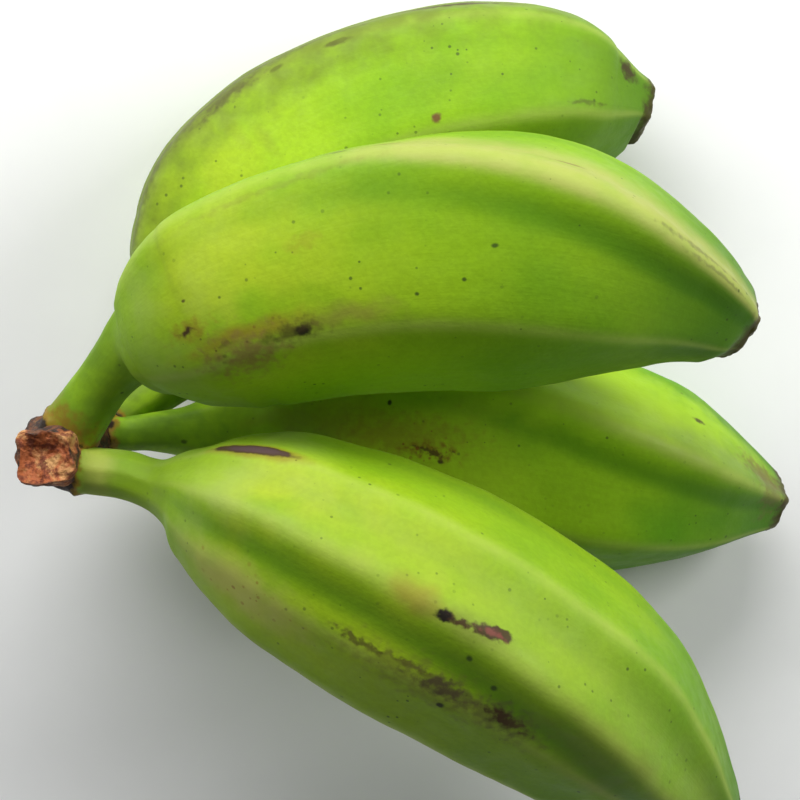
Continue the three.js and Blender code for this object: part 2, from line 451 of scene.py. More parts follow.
def rolled_sheet(name, rows, sides, place_corner, values):
    """place_corner(row, angle) returns a point in plan millimetres and a dict of values."""
    sheet = bmesh.new()
    places = sheet.verts.layers.float_vector.new("place")
    layers = {value: sheet.verts.layers.float.new(value) for value in values}
    bmesh.ops.create_grid(sheet, x_segments=sides, y_segments=rows, size=1.0)
    for corner in sheet.verts:
        row = round((corner.co.y + 1.0) / 2.0 * rows)
        angle = corner.co.x * math.pi
        point, facts = place_corner(row, angle)
        corner.co = placed(point)
        corner.co.z = max(corner.co.z, RESTING_GAP)
        corner[places] = Vector((math.cos(angle), math.sin(angle), facts["along"]))
        for value, layer in layers.items():
            corner[layer] = facts[value]
    bmesh.ops.remove_doubles(sheet, verts=sheet.verts, dist=SAME_POINT)
    bmesh.ops.recalc_face_normals(sheet, faces=sheet.faces)
    mesh = bpy.data.meshes.new(name)
    sheet.to_mesh(mesh)
    sheet.free()
    mesh.polygons.foreach_set("use_smooth", [True] * len(mesh.polygons))
    piece = bpy.data.objects.new(name, mesh)
    bpy.context.collection.objects.link(piece)
    print(name, "rolled,", len(mesh.polygons), "faces")
    return piece


# %% [markdown]
# ## Building a finger
# The flower that dropped off left a dark, hard scar at the tip: a ragged rim round a shallow dish
# with a small stump in it. The rows past the last station follow that outline. A torn collar goes
# round the stalk where it leaves the crown. A little slow noise moves the whole surface in and out
# by a fraction of a millimetre, because fruit is never smooth.

# %% Finger maker
BODY_ROWS = 230
SIDES = 150
TIP_OUTLINE = [      # share of the end radius, millimetres beyond the last station
    (0.985, 0.3), (0.95, 0.65), (0.90, 0.95), (0.83, 1.15), (0.75, 1.25), (0.67, 1.3),
    (0.60, 1.45), (0.55, 1.7), (0.51, 1.75), (0.47, 1.5), (0.43, 1.1), (0.37, 0.8), (0.29, 0.75),
    (0.20, 1.1), (0.10, 1.4), (0.0, 1.5),
]
SCAR_SHARES = (0.55, 0.68)     # shares of the end radius between which scar turns to peel
COLLAR_HEIGHT, COLLAR_WIDTH = 0.55, 1.3      # millimetres, where the stalk leaves the crown
COLLAR_TEARS, TEAR_WIDTH = 1.2, 2.0          # share of the collar's height, millimetres
LUMP_DEPTH, LUMP_WIDTH = 0.4, 17.0           # all in millimetres from here on
DIMPLE_DEPTH, DIMPLE_WIDTH = 0.07, 3.5
RIM_DEPTH, RIM_WIDTH = 0.35, 1.6
SMOOTH_RADIUS = 4.0                          # the bumps fade inside this radius


def bump(point, depth, width):
    return noise.noise(point / width) * depth


def make_finger(name, stations, ridges, ring):
    sections = along_curve(stations, BODY_ROWS, Vector((0.0, 0.0, 1.0)))
    length = sections[-1]["along"]
    rows = 1 + BODY_ROWS + len(TIP_OUTLINE)

    def place_corner(row, angle):
        section = sections[min(max(row - 1, 0), BODY_ROWS)]
        beyond = row - 1 - BODY_ROWS
        at_tip = beyond > 0
        shrink, push = TIP_OUTLINE[beyond - 1] if at_tip else (1.0 if row > 0 else 0.0, 0.0)
        across, reach, point, paint = on_section(section, length, ridges, angle, shrink)
        ragged = bump(point, RIM_DEPTH, RIM_WIDTH) if at_tip else 0.0
        collar = COLLAR_HEIGHT * math.exp(-((section["along"] - ring) / COLLAR_WIDTH) ** 2)
        collar *= 1.0 + bump(point, COLLAR_TEARS, TEAR_WIDTH)
        bumps = bump(point, LUMP_DEPTH, LUMP_WIDTH) + bump(point, DIMPLE_DEPTH, DIMPLE_WIDTH)
        point += across * (bumps + ragged + collar) * min(1.0, reach / SMOOTH_RADIUS)
        point += section["tangent"] * push * (1.0 + ragged)
        dried = 1.0 - smooth_step(shrink, *SCAR_SHARES) if at_tip else 0.0
        return point, dict(paint, along=section["along"] + push, dried=dried)

    print(name, "is", round(length), "mm along its curve")
    return rolled_sheet(name, rows, SIDES, place_corner, ("band", "line", "hollow", "dried"))


fingers = {
    "finger_far_below": make_finger("finger_far_below", **FAR_BELOW),
    "finger_far_above": make_finger("finger_far_above", **FAR_ABOVE),
    "finger_near_below": make_finger("finger_near_below", **NEAR_BELOW),
    "finger_near_above": make_finger("finger_near_above", **NEAR_ABOVE),
}

# %% [markdown]
# ## The crown
# The crown is where a knife parted the hand from the stem. Its cut end dries to a rough orange and
# brown face with dark edges, and its sides are corky. It is rolled from a sheet like the fingers,
# and coarse, middling and fine bumps break up the surface, most of all on the cut.

# %% Crown
CROWN_STATIONS = [
    (-76.0, -7.4, 22.0, 4.2), (-77.0, -8.0, 25.5, 7.4), (-78.0, -8.8, 32.0, 9.2),
    (-78.8, -9.8, 41.0, 9.6), (-80.6, -11.6, 51.0, 9.6), (-82.4, -13.2, 59.0, 8.6),
    (-83.2, -13.6, 66.5, 7.6),
]
CROWN_RIDGES = [(angle, angle, 0.6, 0.6) for angle in (-135, -45, 45, 135)]
CROWN_ROWS = 110
CROWN_SIDES = 130
CUT_ROWS = 34
SIDE_BUMPS = ((1.5, 6.0), (0.6, 2.4), (0.2, 0.9))      # height and width in millimetres
CUT_BUMPS = ((2.2, 7.0), (1.0, 2.6), (0.4, 1.0))
CORK_SMOOTH_RADIUS = 3.0
FIBRES_START = (0.85, 1.0)      # shares of the crown's length
CUT_DISH = 0.8                  # millimetres that the cut lies below its rim
DISH_EDGE, BARE_EDGE = 0.3, 0.25     # shares of the way from the rim to the middle of the cut


def make_crown():
    sections = along_curve(CROWN_STATIONS, CROWN_ROWS, Vector((0.0, 1.0, 0.0)))
    length = sections[-1]["along"]
    rows = 1 + CROWN_ROWS + CUT_ROWS

    def place_corner(row, angle):
        section = sections[min(max(row - 1, 0), CROWN_ROWS)]
        inward = max(0, row - 1 - CROWN_ROWS) / CUT_ROWS
        shrink = 1.0 - inward if row > 0 else 0.0
        across, reach, point, _ = on_section(section, length, CROWN_RIDGES, angle, shrink)
        fibres = sum(bump(point, *size) for size in CUT_BUMPS)
        fibres *= smooth_step(section["along"] / length, *FIBRES_START)
        cork = sum(bump(point, *size) for size in SIDE_BUMPS)
        point += across * cork * min(1.0, reach / CORK_SMOOTH_RADIUS)
        point += section["tangent"] * (fibres - CUT_DISH * smooth_step(inward, 0.0, DISH_EDGE))
        return point, dict(along=section["along"], cut=smooth_step(inward, 0.0, BARE_EDGE))

    print("crown is", round(length), "mm long")
    return rolled_sheet("crown", rows, CROWN_SIDES, place_corner, ("cut",))


crown = make_crown()

# %% [markdown]
# ## One mark on the peel
# Scrapes, bruises and insect bites are all patches with a ragged edge, and so are the broad patches
# of painted shade and painted light on some fingers. A single group draws one. It takes the
# direction from the finger's spine to the mark's middle, a direction across it and the stretch and
# shift that measure along it, both counted in half sizes of the mark, and gives a mask. Measuring in
# the finger's own map bends a long scratch along the finger.

# %% Group: mark
mark_group, takes, gives = new_group(
    "mark",
    [("Toward", VECTOR, (1.0, 0.0, 0.0)), ("Across", VECTOR, (0.0, 10.0, 0.0)),
     ("Stretch", FLOAT, 0.2), ("Shift", FLOAT, -18.0), ("Inner", FLOAT, 0.7),
     ("Outer", FLOAT, 1.3), ("Strength", FLOAT, 1.0), ("Ragged", FLOAT, 0.5),
     ("Wobble", VECTOR, (0.0, 0.0, 0.0))],
    [("Mask", FLOAT)],
)
place = surface_place(mark_group)
along = parts_of(mark_group, place)["Z"]
wobble = parts_of(mark_group, takes["Wobble"])
facing = along_direction(mark_group, place, takes["Toward"])
reach_along = multiply_add(mark_group, along, takes["Stretch"], takes["Shift"])
reach_along = multiply_add(mark_group, wobble["X"], takes["Ragged"], reach_along)
reach_aside = multiply_add(mark_group, wobble["Y"], takes["Ragged"],
                           along_direction(mark_group, place, takes["Across"]))
square = multiply_add(mark_group, reach_along, reach_along,
                      product(mark_group, reach_aside, reach_aside))
inside = ramped(mark_group, sum_of(mark_group, "SQRT", square), takes["Outer"], takes["Inner"],
                to_high=takes["Strength"])
mask = product(mark_group, inside, sum_of(mark_group, "GREATER_THAN", facing, 0.0))
mark_group.links.new(mask, gives["Mask"])
print("mark group:", len(mark_group.nodes), "nodes")

# %% [markdown]
# ## Specks
# Unripe peel is sprinkled with pores and tiny dark specks. Cells of a Voronoi pattern place them
# without order, and each cell's random colour decides whether it has a speck and how large it is.

# %% Group: specks
SMALLEST_SPECK = 0.3

speck_group, takes, gives = new_group(
    "specks",
    [("Scale", FLOAT, 300.0), ("Share", FLOAT, 0.3), ("Size", FLOAT, 0.16)],
    [("Mask", FLOAT)],
)
cells = add_node(speck_group, "ShaderNodeTexVoronoi",
                 {"Vector": object_place(speck_group), "Scale": takes["Scale"]}).outputs
chance = parts_of(speck_group, cells["Color"])
size = product(speck_group, takes["Size"],
               sum_of(speck_group, "ADD", chance["Y"], SMALLEST_SPECK))
dot = ramped(speck_group, sum_of(speck_group, "DIVIDE", cells["Distance"], size), 1.0, 0.5)
kept = sum_of(speck_group, "LESS_THAN", chance["X"], takes["Share"])
speck_group.links.new(product(speck_group, dot, kept), gives["Mask"])
print("speck group:", len(speck_group.nodes), "nodes")

# %% [markdown]
# ## The peel's ground colour
# Under the marks the peel is a bright yellow green, yellowest past the shoulder and on the upper
# side, that drifts to a deeper green towards the tip and darkens at the tip itself, partly as
# painted shade. Fine streaks run along it, each ridge has a thin pale line, a strong ridge has a
# pale band above it and a greener hollow under it, and a faint bloom lies on the shoulder where the
# stalk swells. The pale line and band are partly pale peel and partly painted highlight, and the
# hollow is partly greener peel and partly painted shade. Specks come last. The group also gives the
# height of the fine relief and where the bloom is, so the bloom can be matt.

# %% Group: peel ground
# partly pale peel and partly painted highlight on the face above a strong ridge
PALE_BAND_AND_HIGHLIGHT = (0.385, 0.405, 0.095, 1.0)
# partly pale peel and partly painted highlight along every crest
PALE_LINE_AND_HIGHLIGHT = (0.42, 0.52, 0.10, 1.0)
# partly greener peel and partly painted shade in the hollow under a ridge
HOLLOW_GREEN_AND_SHADE = (0.075, 0.22, 0.004, 1.0)
YELLOW_PEEL = (0.42, 0.53, 0.020, 1.0)
BLOOM_COLOUR = (0.36, 0.46, 0.12, 1.0)
# partly deeper green peel and partly painted shade at the tip
TIP_GREEN_AND_SHADE = (0.055, 0.17, 0.006, 1.0)
SPECK_COLOUR = (0.045, 0.080, 0.010, 1.0)
# Millimetres from the shoulder, first where an effect is nothing and then where it is full.
YELLOW_RISE, YELLOW_FALL = (2.0, 16.0), (75.0, 20.0)
BLOOM_RISE, BLOOM_FALL = (-8.0, 4.0), (30.0, 6.0)
STALK_FADE = (0.0, -14.0)
# Millimetres to the tip, in the same way.
DEEPER_GREEN, TIP_SHADE = (110.0, 20.0), (45.0, 0.0)
UPPER_SIDE = (0.3, 0.9)                # cosine of the angle from straight up, for the yellow
# How much of each colour is laid on where its effect is full.
YELLOW_SHARE, HOLLOW_SHARE, TIP_SHARE, LINE_SHARE, FEW_SPECKS_SHARE = 0.7, 0.8, 0.75, 0.45, 0.7
# How fine the noise of each effect is: a feature is about one metre over this number.
CLOUD_SCALE, YELLOW_SCALE, MOTTLE_SCALE, PALE_SCALE = 28.0, 45.0, 700.0, 90.0
BLOOM_SCALE, STALK_SCALE, DUST_SCALE, PORE_SCALE = 70.0, 110.0, 50.0, 900.0
STREAK_SHAPE, STREAK_SCALE = (16.0, 16.0, 0.05), 1.6      # shape: round the finger, and along it
STREAK_RELIEF, PORE_RELIEF = 0.3, 0.35
BLUE_OF_STREAKS = 0.97
FINE_SPECKS = {"Scale": 480.0, "Share": 0.25, "Size": 0.22}
FEW_SPECKS = {"Scale": 140.0, "Share": 0.11, "Size": 0.06}

peel_group, takes, gives = new_group(
    "peel ground",
    [("Bright", COLOUR, (0.29, 0.45, 0.022, 1.0)), ("Deep", COLOUR, (0.17, 0.33, 0.012, 1.0)),
     ("Stalk", COLOUR, (0.14, 0.24, 0.02, 1.0)), ("Shoulder", FLOAT, 45.0),
     ("Length", FLOAT, 180.0), ("Bloom", FLOAT, 0.4), ("Band", FLOAT, 0.5)],
    [("Color", COLOUR), ("Height", FLOAT), ("Bloom", FLOAT)],
)
here = object_place(peel_group)
on_peel = surface_place(peel_group)
facing_up, _, along = parts_of(peel_group, on_peel)
from_shoulder = sum_of(peel_group, "SUBTRACT", along, takes["Shoulder"])
to_tip = sum_of(peel_group, "SUBTRACT", takes["Length"], along)

clouds = sum_of(peel_group, "ADD",
                patches(peel_group, here, CLOUD_SCALE, 0.35, 0.7, to_high=0.5, detail=2.0),
                ramped(peel_group, to_tip, *DEEPER_GREEN, to_high=0.5), clamp=True)
colour = painted(peel_group, clouds, takes["Bright"], takes["Deep"])
yellow = product(peel_group, ramped(peel_group, from_shoulder, *YELLOW_RISE),
                 ramped(peel_group, from_shoulder, *YELLOW_FALL),
                 ramped(peel_group, facing_up, *UPPER_SIDE),
                 patches(peel_group, here, YELLOW_SCALE, 0.35, 0.65, detail=2.0), YELLOW_SHARE)
colour = painted(peel_group, yellow, colour, YELLOW_PEEL)

grain_space = add_node(peel_group, "ShaderNodeMapping",
                       {"Vector": on_peel, "Scale": STREAK_SHAPE}).outputs[0]
streaks = noise_value(peel_group, grain_space, STREAK_SCALE, roughness=0.65)
tone = product(peel_group, ramped(peel_group, streaks, 0.3, 0.75, 0.98, 1.02),
               patches(peel_group, here, MOTTLE_SCALE, 0.3, 0.7, 0.96, 1.04, detail=1.0))
blue = product(peel_group, tone, BLUE_OF_STREAKS)
tone_colour = add_node(peel_group, "ShaderNodeCombineColor",
                       {0: tone, 1: tone, 2: blue}).outputs[0]
colour = painted(peel_group, 1.0, colour, tone_colour, "MULTIPLY")

# painted shade: the hollow under each ridge turns darker and greener, partly greener peel and partly
# painted shade
hollow = ramped(peel_group, surface_value(peel_group, "hollow"), 0.1, 1.0, to_high=HOLLOW_SHARE)
colour = painted(peel_group, hollow, colour, HOLLOW_GREEN_AND_SHADE)
# painted shade: the last 45 millimetres darken towards the tip, partly deeper green peel and partly
# painted shade
tip_shade = ramped(peel_group, to_tip, *TIP_SHADE, to_high=TIP_SHARE)
colour = painted(peel_group, tip_shade, colour, TIP_GREEN_AND_SHADE)
patchy = patches(peel_group, here, PALE_SCALE, 0.35, 0.6, 0.7, 1.0)
# painted highlight: the pale band above a strong ridge is partly pale peel and partly a painted
# highlight on the face turned to the light
band = product(peel_group, ramped(peel_group, surface_value(peel_group, "band"), 0.15, 0.85),
               patchy, takes["Band"])
colour = painted(peel_group, band, colour, PALE_BAND_AND_HIGHLIGHT)
# painted highlight: the thin pale line on each crest is partly pale peel and partly a painted
# highlight
line = product(peel_group, surface_value(peel_group, "line"), patchy, LINE_SHARE)
colour = painted(peel_group, line, colour, PALE_LINE_AND_HIGHLIGHT)

bloom = product(peel_group, ramped(peel_group, from_shoulder, *BLOOM_RISE),
                ramped(peel_group, from_shoulder, *BLOOM_FALL),
                patches(peel_group, here, BLOOM_SCALE, 0.3, 0.7), takes["Bloom"])
colour = painted(peel_group, bloom, colour, BLOOM_COLOUR)
stalk = product(peel_group, ramped(peel_group, from_shoulder, *STALK_FADE),
                patches(peel_group, here, STALK_SCALE, 0.3, 0.65, 0.35, 0.95))
colour = painted(peel_group, stalk, colour, takes["Stalk"])

fine_specks = use_group(peel_group, speck_group, FINE_SPECKS)["Mask"]
few_specks = use_group(peel_group, speck_group, FEW_SPECKS)["Mask"]
dusting = product(peel_group, fine_specks,
                  patches(peel_group, here, DUST_SCALE, 0.42, 0.62, 0.2, 0.75))
colour = painted(peel_group, dusting, colour, SPECK_COLOUR)
colour = painted(peel_group, product(peel_group, few_specks, FEW_SPECKS_SHARE), colour,
                 SPECK_COLOUR)

pores = noise_value(peel_group, here, PORE_SCALE, detail=1.0)
relief = sum_of(peel_group, "ADD", product(peel_group, streaks, STREAK_RELIEF),
                product(peel_group, pores, PORE_RELIEF))
for name, value in (("Color", colour), ("Height", relief), ("Bloom", bloom)):
    peel_group.links.new(value, gives[name])
print("peel group:", len(peel_group.nodes), "nodes")

# %% [markdown]
# ## Painting one finger
# Each finger gets its own material: the shared ground, its own list of marks, the brown ring where
# its stalk leaves the crown, and the dark, dry tip with its scar. Every mark has a colour and a
# strength, and is laid over what is there already, the way a bruise darkens the peel without
# hiding it. Its node carries the mark's name.

# %% Finger material
BLACK_SPOT = (0.012, 0.009, 0.006, 1.0)
DARK_BROWN = (0.055, 0.028, 0.012, 1.0)
RED_BROWN = (0.16, 0.055, 0.03, 1.0)
ORANGE_BROWN = (0.27, 0.17, 0.018, 1.0)
ORANGE_RED = (0.24, 0.085, 0.012, 1.0)
RUST = (0.24, 0.10, 0.014, 1.0)
LESION_RED = (0.19, 0.055, 0.038, 1.0)
BRUISE_BROWN = (0.23, 0.15, 0.045, 1.0)
PURPLE_BROWN = (0.075, 0.045, 0.032, 1.0)
GREY_BROWN = (0.085, 0.075, 0.035, 1.0)
# the olive colour serves a real smear and painted shade at a tip; the shaded green is painted shade
# and the lit green painted light
OLIVE_SMEAR_AND_SHADE = (0.19, 0.20, 0.03, 1.0)
SHADED_GREEN = (0.15, 0.20, 0.02, 1.0)
LIT_GREEN = (0.46, 0.71, 0.025, 1.0)
PALE_YELLOW = (0.52, 0.50, 0.12, 1.0)
SCAR_GREY = (0.10, 0.060, 0.062, 1.0)
SCAR_BROWN = (0.030, 0.018, 0.010, 1.0)
SCAR_TAN = (0.16, 0.10, 0.045, 1.0)
PEEL_RELIEF = 0.00025      # metres of bump between the lowest and highest point of the fine relief
WOBBLE_SCALES = {"coarse": 170.0, "fine": 480.0}
WOBBLE_REACH = 4.0
DOTS = {"Scale": 560.0, "Share": 0.55, "Size": 0.34}
TORN_SCALE, TORN_REACH = 420.0, 5.0        # the ragged edges of the ring and of the dry tip
RUST_EDGE, RING_EDGE = (2.0, 0.6), (0.6, -0.6)     # millimetres past the ring
DRY_TIP_EDGE, DRY_TIP_SHARE = (3.0, 0.0), 0.85     # millimetres to the tip
SCAR_FRAY_SCALE, SCAR_FRAY = 500.0, 0.9
SCAR_TONE_SCALE, SCAR_GRAIN_SCALE, SHEEN_SCALE = 800.0, 1100.0, 200.0
PEEL_ROUGHNESS = (0.50, 0.62)
MATT_BLOOM, MATT_SCAR = 0.2, 0.3           # roughness that they add


def wobble_field(tree, scale):
    """Two uneven values, from -2 to 2, that push a mark's outline about."""
    inputs = {"Vector": object_place(tree), "Scale": scale, "Detail": 3.0, "Roughness": 0.5}
    colour = add_node(tree, "ShaderNodeTexNoise", inputs).outputs["Color"]
    middle = add_node(tree, "ShaderNodeVectorMath", {0: colour, 1: (0.5, 0.5, 0.5)},
                      operation="SUBTRACT").outputs[0]
    return add_node(tree, "ShaderNodeVectorMath", {0: middle, "Scale": WOBBLE_REACH},
                    operation="SCALE").outputs[0]


def lay_mark(tree, colour, mark, fields, dots):
    kind, along, angle, half_length, half_width, tint, strength, ragged, grain, edge = mark
    cosine, sine = math.cos(math.radians(angle)), math.sin(math.radians(angle))
    narrow = 1.0 / math.sin(math.radians(half_width))
    mask = use_group(tree, mark_group, {
        "Toward": (cosine, sine, 0.0), "Across": (-sine * narrow, cosine * narrow, 0.0),
        "Stretch": 1.0 / half_length, "Shift": -along / half_length,
        "Inner": 1.0 - edge, "Outer": 1.0 + edge, "Strength": strength,
        "Ragged": ragged, "Wobble": fields[grain],
    })["Mask"]
    mask.node.label = kind
    if grain == "dots":
        mask = product(tree, mask, dots)
    return painted(tree, mask, colour, tint)


def peel_material(name, bright, deep, stalk, shoulder, length, ring, marks, band):
    material = bpy.data.materials.new(name)
    material.use_nodes = True
    tree = material.node_tree
    shader = tree.nodes["Principled BSDF"]
    ground = use_group(tree, peel_group, {"Bright": bright, "Deep": deep, "Stalk": stalk,
                                          "Shoulder": shoulder, "Length": length, "Band": band})
    colour = ground["Color"]
    fields = {grain: wobble_field(tree, scale) for grain, scale in WOBBLE_SCALES.items()}
    fields["dots"] = fields["coarse"]
    dots = use_group(tree, speck_group, DOTS)["Mask"]
    for mark in marks:
        colour = lay_mark(tree, colour, mark, fields, dots)

    here = object_place(tree)
    along = parts_of(tree, surface_place(tree))["Z"]
    torn = uneven(tree, here, TORN_SCALE, TORN_REACH)
    from_ring = sum_of(tree, "ADD", sum_of(tree, "SUBTRACT", along, ring), torn)
    colour = painted(tree, ramped(tree, from_ring, *RUST_EDGE), colour, ORANGE_BROWN)
    colour = painted(tree, ramped(tree, from_ring, *RING_EDGE), colour, SCAR_BROWN)
    to_tip = sum_of(tree, "ADD", sum_of(tree, "SUBTRACT", length, along), torn)
    dry_tip = ramped(tree, to_tip, *DRY_TIP_EDGE, to_high=DRY_TIP_SHARE)
    colour = painted(tree, dry_tip, colour, DARK_BROWN)

    dried = sum_of(tree, "ADD", surface_value(tree, "dried"),
                   uneven(tree, here, SCAR_FRAY_SCALE, SCAR_FRAY))
    dried = ramped(tree, dried, 0.45, 0.8)
    scar_tone = painted(tree, noise_value(tree, here, SCAR_TONE_SCALE, detail=2.0),
                        SCAR_BROWN, SCAR_TAN)
    tree.links.new(painted(tree, dried, colour, scar_tone), shader.inputs["Base Color"])

    sheen = patches(tree, here, SHEEN_SCALE, 0.3, 0.7, *PEEL_ROUGHNESS, detail=1.0)
    sheen = multiply_add(tree, ground["Bloom"], MATT_BLOOM, sheen)
    sheen = sum_of(tree, "ADD", sheen, product(tree, dried, MATT_SCAR), clamp=True)
    tree.links.new(sheen, shader.inputs["Roughness"])
    scar_grain = noise_value(tree, here, SCAR_GRAIN_SCALE, detail=1.0)
    height = multiply_add(tree, dried, scar_grain, ground["Height"])
    relief = add_node(tree, "ShaderNodeBump", {"Height": height, "Distance": PEEL_RELIEF,
                                               "Strength": 0.55})
    tree.links.new(relief.outputs["Normal"], shader.inputs["Normal"])
    shader.inputs["Specular IOR Level"].default_value = 0.18
    print(name, "with", len(marks), "marks")
    return material


# %% [markdown]
# ## The marks of each finger
# A mark is its kind, millimetres along the finger, degrees round it, half its length in millimetres,
# half its width in degrees, its colour, how strong it is, how ragged, the grain of its edge and how
# soft the edge is. The places are those of the photograph's own marks, and the hidden sides have
# none. Three broad marks are not on the peel itself: the tip shade on the near upper finger and the
# top shade on the far lower finger are painted shade, and the sunny face on the near lower finger is
# painted light.

# %% Marks and materials of the four fingers
NEAR_ABOVE_MARKS = [
    ("pale collar", 13.0, 8.0, 4.0, 60.0, PALE_YELLOW, 0.45, 0.5, "coarse", 0.9),
    ("pale arc", 60.0, -36.0, 13.0, 13.0, PALE_YELLOW, 0.7, 0.3, "coarse", 0.8),
    ("freckles", 60.0, -34.0, 11.0, 11.0, ORANGE_RED, 0.6, 0.6, "dots", 0.6),
    ("scar rim", 51.0, 47.0, 9.6, 8.0, ORANGE_BROWN, 0.6, 0.2, "coarse", 0.35),
    ("long scar", 50.6, 47.0, 8.2, 5.6, DARK_BROWN, 0.95, 0.14, "fine", 0.16),
    ("scar heart", 51.2, 47.0, 6.2, 4.0, SCAR_GREY, 0.95, 0.16, "fine", 0.35),
    ("ridge smear", 92.0, 6.0, 5.0, 5.0, ORANGE_BROWN, 0.55, 0.4, "coarse", 0.8),
    ("bite stain", 101.0, 4.0, 8.0, 4.5, DARK_BROWN, 0.35, 0.4, "coarse", 0.8),
    ("black spot", 97.6, 4.2, 1.8, 2.2, BLACK_SPOT, 1.0, 0.5, "fine", 0.4),
    ("bite trail", 101.0, 4.8, 2.8, 1.5, DARK_BROWN, 0.95, 0.9, "fine", 0.5),
    ("bite edge", 106.0, 6.6, 3.0, 2.6, DARK_BROWN, 0.95, 0.35, "fine", 0.25),
    ("bite end", 108.3, 8.4, 2.2, 2.0, DARK_BROWN, 0.95, 0.35, "fine", 0.25),
    ("bite", 106.6, 7.1, 2.4, 1.3, LESION_RED, 0.9, 0.8, "fine", 0.5),
    ("scuff start", 88.5, -24.0, 5.0, 1.8, DARK_BROWN, 0.75, 1.1, "fine", 0.6),
    ("scuff line", 96.5, -22.0, 3.6, 1.6, DARK_BROWN, 0.8, 1.0, "fine", 0.6),
    ("scuff bed", 104.0, -27.0, 15.0, 8.0, OLIVE_SMEAR_AND_SHADE, 0.6, 0.9, "fine", 0.9),
    ("scuff", 105.0, -25.0, 5.5, 4.0, PURPLE_BROWN, 0.85, 0.8, "fine", 0.7),
    ("scuff dot", 106.4, -34.0, 0.8, 1.6, BLACK_SPOT, 0.9, 0.2, "fine", 0.4),
    ("rub bed", 117.5, -23.0, 7.0, 6.0, GREY_BROWN, 0.6, 0.9, "fine", 0.9),
    ("rub", 118.0, -22.5, 4.8, 3.0, DARK_BROWN, 0.95, 0.9, "fine", 0.6),
    ("dot", 105.4, -6.0, 0.6, 1.2, SPECK_COLOUR, 0.9, 0.2, "fine", 0.5),
    ("dot", 112.6, -12.0, 0.7, 1.3, SPECK_COLOUR, 0.9, 0.2, "fine", 0.5),
    # painted shade: the tip shade darkens the far end of this finger's upper face
    ("tip shade", 140.0, -14.0, 14.0, 14.0, OLIVE_SMEAR_AND_SHADE, 0.3, 0.8, "coarse", 0.9),
]
FAR_ABOVE_MARKS = [
    ("spot halo", 54.5, -9.0, 4.0, 5.0, ORANGE_BROWN, 0.6, 0.8, "fine", 0.8),
    ("brown spot", 54.0, -9.5, 1.7, 2.4, DARK_BROWN, 0.95, 0.8, "fine", 0.5),
    ("smear", 64.0, -22.5, 11.0, 5.0, ORANGE_BROWN, 0.7, 0.6, "coarse", 0.9),
    ("smear veins", 61.0, -22.5, 7.0, 4.0, RUST, 0.85, 1.0, "dots", 0.8),
    ("smear streak", 60.5, -24.0, 2.4, 1.4, DARK_BROWN, 0.55, 1.3, "fine", 0.8),
    ("ring rust", 8.0, 10.0, 3.2, 80.0, RUST, 0.75, 0.7, "fine", 0.9),
    ("brown patch", 63.0, -35.0, 6.5, 11.0, BRUISE_BROWN, 0.8, 0.8, "fine", 0.9),
    ("brown freckles", 63.0, -26.0, 9.0, 8.0, DARK_BROWN, 0.5, 0.8, "dots", 0.8),
    ("dark halo", 74.5, -29.0, 5.5, 4.4, DARK_BROWN, 0.75, 0.8, "fine", 0.9),
    ("dark spot", 76.9, -29.0, 1.8, 2.8, BLACK_SPOT, 0.95, 0.4, "fine", 0.5),
    ("long smear", 87.0, -26.0, 9.0, 5.0, BRUISE_BROWN, 0.5, 0.7, "coarse", 0.9),
    ("faint brown", 80.9, 14.0, 3.0, 3.5, ORANGE_BROWN, 0.25, 0.9, "fine", 0.8),
    ("crest scratch", 132.7, 47.0, 3.2, 1.2, RED_BROWN, 0.6, 0.6, "fine", 0.6),
    ("crest dot", 90.5, 56.0, 1.6, 1.8, PURPLE_BROWN, 0.6, 0.6, "fine", 0.6),
    ("crest dash", 99.6, 62.0, 2.4, 2.2, RED_BROWN, 0.6, 0.6, "fine", 0.6),
    ("crest line", 78.0, 44.0, 16.0, 1.4, RED_BROWN, 0.2, 0.9, "fine", 0.9),
    ("tip streak", 160.0, 25.0, 9.0, 1.4, PURPLE_BROWN, 0.45, 0.9, "fine", 0.7),
    ("tip streak", 167.0, 20.0, 7.0, 1.2, PURPLE_BROWN, 0.4, 0.9, "fine", 0.7),
    ("dot", 56.9, 8.0, 0.5, 0.9, DARK_BROWN, 0.8, 0.2, "fine", 0.5),
    ("dot", 119.8, 2.0, 0.7, 1.0, SPECK_COLOUR, 0.9, 0.2, "fine", 0.5),
    ("dot", 113.7, -14.0, 0.5, 0.9, SPECK_COLOUR, 0.9, 0.2, "fine", 0.5),
    ("dot", 103.0, -20.0, 0.5, 0.9, SPECK_COLOUR, 0.9, 0.2, "fine", 0.5),
]
FAR_BELOW_MARKS = [
    ("dash", 107.8, 45.0, 2.8, 2.0, DARK_BROWN, 0.9, 0.3, "fine", 0.4),
    ("dot", 94.8, 46.0, 1.2, 1.6, DARK_BROWN, 0.85, 0.3, "fine", 0.4),
    # painted shade: the top shade darkens the upper strip along this finger's top edge
    ("top shade", 100.0, 72.0, 64.0, 35.0, SHADED_GREEN, 0.9, 0.25, "coarse", 0.5),
    ("edge rub", 78.0, 58.0, 26.0, 5.0, PURPLE_BROWN, 0.5, 0.9, "fine", 0.9),
    ("scuff", 84.0, 49.0, 5.5, 3.0, PURPLE_BROWN, 0.6, 0.9, "fine", 0.8),
    ("streak", 81.5, 28.0, 1.3, 12.0, RED_BROWN, 0.16, 0.5, "coarse", 0.9),
    ("streak", 85.4, 18.0, 1.1, 10.0, RED_BROWN, 0.15, 0.5, "coarse", 0.9),
    ("brown dot", 123.8, -9.0, 1.1, 2.0, RED_BROWN, 0.9, 0.4, "fine", 0.5),
    ("edge scar", 133.0, 62.0, 10.0, 4.0, DARK_BROWN, 0.8, 0.5, "fine", 0.5),
    ("grey veil", 132.0, 10.0, 14.0, 12.0, PURPLE_BROWN, 0.10, 0.5, "coarse", 0.9),
    ("tip notch", 170.8, 32.0, 2.4, 8.0, DARK_BROWN, 0.9, 0.6, "fine", 0.5),
    ("tip crack", 158.0, -8.0, 3.4, 1.4, DARK_BROWN, 0.5, 1.0, "fine", 0.6),
]
